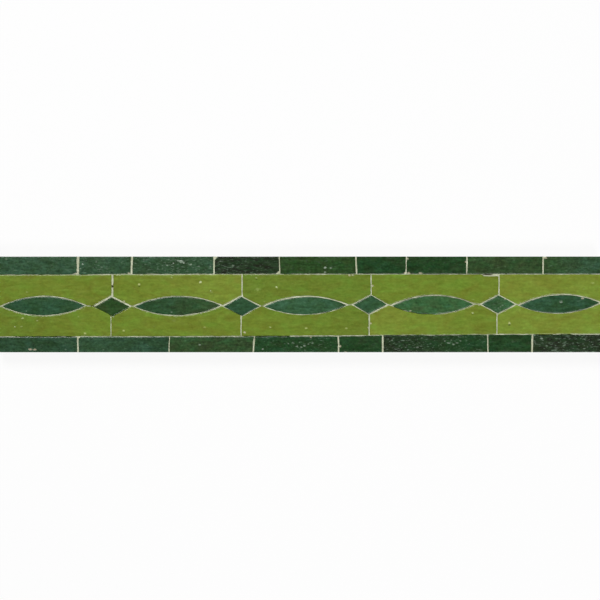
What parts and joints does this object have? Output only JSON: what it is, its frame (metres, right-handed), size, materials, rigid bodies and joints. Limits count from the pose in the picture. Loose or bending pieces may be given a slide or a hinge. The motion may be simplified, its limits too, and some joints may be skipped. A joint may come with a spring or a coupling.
{
  "type": "mosaic border tile",
  "caption": "Border strip of hand-cut glazed mosaic: green lenses and diamonds in a lime band between two rows of green tiles, cast in a mortar bed, for edging a tiled wall.",
  "frame": {"origin": "middle of the underside of the mortar bed", "axes": "+X along the strip, +Y across it towards the top row, +Z out of the glazed face"},
  "size_m": [0.457, 0.0728, 0.018],
  "materials": {
    "border_green_glaze": "hand-glazed bottle green, pitted, on a buff clay body",
    "inset_green_glaze": "hand-glazed blue green on a buff clay body",
    "lime_glaze": "hand-glazed lime green, streaked, on a buff clay body",
    "mortar": "cream cement mortar, wiped in the joints"
  },
  "bodies": {
    "root": {"mortar_bed": "mortar", "top_border_tile_1": "border_green_glaze", "top_border_tile_2": "border_green_glaze", "top_border_tile_3": "border_green_glaze", "top_border_tile_4": "border_green_glaze", "top_border_tile_5": "border_green_glaze", "top_border_tile_6": "border_green_glaze", "top_border_tile_7": "border_green_glaze", "top_border_tile_8": "border_green_glaze", "top_border_tile_9": "border_green_glaze", "bottom_border_tile_1": "border_green_glaze", "bottom_border_tile_2": "border_green_glaze", "bottom_border_tile_3": "border_green_glaze", "bottom_border_tile_4": "border_green_glaze", "bottom_border_tile_5": "border_green_glaze", "bottom_border_tile_6": "border_green_glaze", "bottom_border_tile_7": "border_green_glaze", "bottom_border_tile_8": "border_green_glaze", "upper_field_tile_1": "lime_glaze", "upper_field_tile_2": "lime_glaze", "upper_field_tile_3": "lime_glaze", "upper_field_tile_4": "lime_glaze", "upper_field_tile_5": "lime_glaze", "lower_field_tile_1": "lime_glaze", "lower_field_tile_2": "lime_glaze", "lower_field_tile_3": "lime_glaze", "lower_field_tile_4": "lime_glaze", "lower_field_tile_5": "lime_glaze", "lens_tile_1": "inset_green_glaze", "lens_tile_2": "inset_green_glaze", "lens_tile_3": "inset_green_glaze", "lens_tile_4": "inset_green_glaze", "lens_tile_5": "inset_green_glaze", "diamond_tile_1": "inset_green_glaze", "diamond_tile_2": "inset_green_glaze", "diamond_tile_3": "inset_green_glaze", "diamond_tile_4": "inset_green_glaze"}
  },
  "joints": []
}
